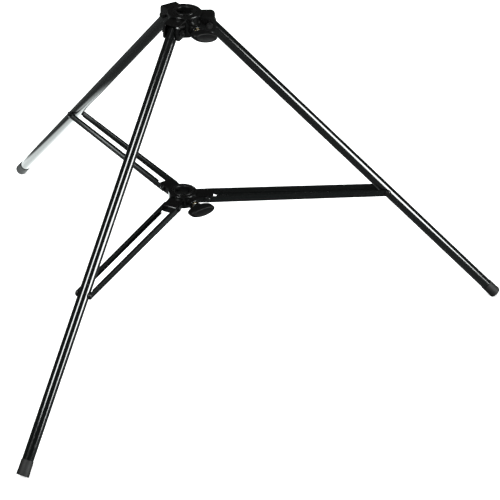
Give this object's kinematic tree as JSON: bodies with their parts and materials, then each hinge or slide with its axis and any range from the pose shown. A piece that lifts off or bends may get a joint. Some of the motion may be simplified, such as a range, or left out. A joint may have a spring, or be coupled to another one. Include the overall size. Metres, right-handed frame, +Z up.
{
  "type": "folding tripod stand base",
  "caption": "Folding tripod stand base with tube legs, paired channel braces, and an upper hub and lower collar that clamp on a pole.",
  "frame": {"origin": "on the floor under the middle of the footprint box; the pole's axis is 0.186 m towards -X", "axes": "+Z up along the pole, +X along one leg seen from above, +Y from the front leg towards the rear leg"},
  "size_m": [1.1492, 1.3224, 0.7648],
  "materials": {
    "black_gloss_tube": "gloss black powder coat",
    "black_painted_strut": "semi-gloss black paint",
    "black_cast_plastic": "satin black glass-filled nylon",
    "pole_liner_plastic": "smooth black acetal",
    "tube_plug_plastic": "satin black",
    "black_knob_plastic": "semi-gloss black",
    "foot_rubber": "matt black",
    "blackened_steel_bolt": "blackened",
    "zinc_plated_screw": "bright zinc plate",
    "brass_insert": "dull, turned",
    "black_nylon": "satin black nylon"
  },
  "bodies": {
    "collar": {"lower_collar": "black_cast_plastic", "lower_pole_liner": "pole_liner_plastic", "lower_clamp_insert": "brass_insert"},
    "lower_pad": {"lower_clamp_pad": "black_nylon"},
    "lower_knob": {"lower_clamp_knob": "black_knob_plastic", "lower_clamp_screw": "zinc_plated_screw"},
    "hub": {"upper_hub": "black_cast_plastic", "upper_pole_liner": "pole_liner_plastic", "upper_clamp_insert": "brass_insert", "leg_bolt_right": "blackened_steel_bolt", "leg_nut_right": "blackened_steel_bolt", "leg_bolt_front": "blackened_steel_bolt", "leg_nut_front": "blackened_steel_bolt", "leg_bolt_rear": "blackened_steel_bolt", "leg_nut_rear": "blackened_steel_bolt"},
    "upper_pad": {"upper_clamp_pad": "black_nylon"},
    "upper_knob": {"upper_clamp_knob": "black_knob_plastic", "upper_clamp_screw": "zinc_plated_screw"},
    "leg_right": {"leg_tube_right": "black_gloss_tube", "leg_plug_right": "tube_plug_plastic", "leg_foot_right": "foot_rubber", "strut_pin_right": "blackened_steel_bolt"},
    "struts_right": {"strut_right_left": "black_painted_strut", "strut_right_right": "black_painted_strut", "collar_rivet_right": "blackened_steel_bolt", "strut_rivet_right_left": "blackened_steel_bolt", "strut_rivet_right_right": "blackened_steel_bolt", "strut_washer_right_left": "black_nylon", "strut_washer_right_right": "black_nylon"},
    "leg_front": {"leg_tube_front": "black_gloss_tube", "leg_plug_front": "tube_plug_plastic", "leg_foot_front": "foot_rubber", "strut_pin_front": "blackened_steel_bolt"},
    "struts_front": {"strut_front_left": "black_painted_strut", "strut_front_right": "black_painted_strut", "collar_rivet_front": "blackened_steel_bolt", "strut_rivet_front_left": "blackened_steel_bolt", "strut_rivet_front_right": "blackened_steel_bolt", "strut_washer_front_left": "black_nylon", "strut_washer_front_right": "black_nylon"},
    "leg_rear": {"leg_tube_rear": "black_gloss_tube", "leg_plug_rear": "tube_plug_plastic", "leg_foot_rear": "foot_rubber", "strut_pin_rear": "blackened_steel_bolt"},
    "struts_rear": {"strut_rear_left": "black_painted_strut", "strut_rear_right": "black_painted_strut", "collar_rivet_rear": "blackened_steel_bolt", "strut_rivet_rear_left": "blackened_steel_bolt", "strut_rivet_rear_right": "blackened_steel_bolt", "strut_washer_rear_left": "black_nylon", "strut_washer_rear_right": "black_nylon"}
  },
  "joints": [
    {"name": "hub_slide", "type": "slide", "parent": "collar", "child": "hub", "axis": [0, 0, 1], "range_m": [0, 0.57956]},
    {"name": "leg_right_fold", "type": "hinge", "parent": "hub", "child": "leg_right", "pos_m": [-0.13211, 0, 0.73582], "axis": [0, 1, 0], "range_deg": [0, 40.8]},
    {"name": "leg_front_fold", "type": "hinge", "parent": "hub", "child": "leg_front", "pos_m": [-0.21311, -0.04677, 0.73582], "axis": [0.866, -0.5, 0], "range_deg": [0, 40.8]},
    {"name": "leg_rear_fold", "type": "hinge", "parent": "hub", "child": "leg_rear", "pos_m": [-0.21311, 0.04677, 0.73582], "axis": [-0.866, -0.5, 0], "range_deg": [0, 40.8]},
    {"name": "struts_right_fold", "type": "hinge", "parent": "collar", "child": "struts_right", "pos_m": [-0.13011, 0, 0.296], "axis": [0, -1, 0], "range_deg": [0, 85.5]},
    {"name": "struts_front_fold", "type": "hinge", "parent": "collar", "child": "struts_front", "pos_m": [-0.21411, -0.0485, 0.296], "axis": [-0.866, 0.5, 0], "range_deg": [0, 85.5]},
    {"name": "struts_rear_fold", "type": "hinge", "parent": "collar", "child": "struts_rear", "pos_m": [-0.21411, 0.0485, 0.296], "axis": [0.866, 0.5, 0], "range_deg": [0, 85.5]},
    {"name": "lower_pad_press", "type": "slide", "parent": "collar", "child": "lower_pad", "axis": [-0.5, 0.866, 0], "range_m": [0, 0.003]},
    {"name": "lower_clamp_turn", "type": "hinge", "parent": "lower_pad", "child": "lower_knob", "pos_m": [-0.15611, -0.05196, 0.296], "axis": [-0.5, 0.866, 0], "range_deg": [0, 720]},
    {"name": "upper_pad_press", "type": "slide", "parent": "hub", "child": "upper_pad", "axis": [-0.5, 0.866, 0], "range_m": [0, 0.003]},
    {"name": "upper_clamp_turn", "type": "hinge", "parent": "upper_pad", "child": "upper_knob", "pos_m": [-0.15611, -0.05196, 0.73232], "axis": [-0.5, 0.866, 0], "range_deg": [0, 720]}
  ],
  "couplings": [
    {"joint": "leg_right_fold", "follows": "hub_slide", "rad_per_m": 1.2281},
    {"joint": "leg_front_fold", "follows": "hub_slide", "rad_per_m": 1.2281},
    {"joint": "leg_rear_fold", "follows": "hub_slide", "rad_per_m": 1.2281},
    {"joint": "struts_right_fold", "follows": "hub_slide", "rad_per_m": 2.5743},
    {"joint": "struts_front_fold", "follows": "hub_slide", "rad_per_m": 2.5743},
    {"joint": "struts_rear_fold", "follows": "hub_slide", "rad_per_m": 2.5743},
    {"joint": "lower_clamp_turn", "follows": "lower_pad_press", "rad_per_m": 4188.8},
    {"joint": "upper_clamp_turn", "follows": "upper_pad_press", "rad_per_m": 4188.8}
  ]
}
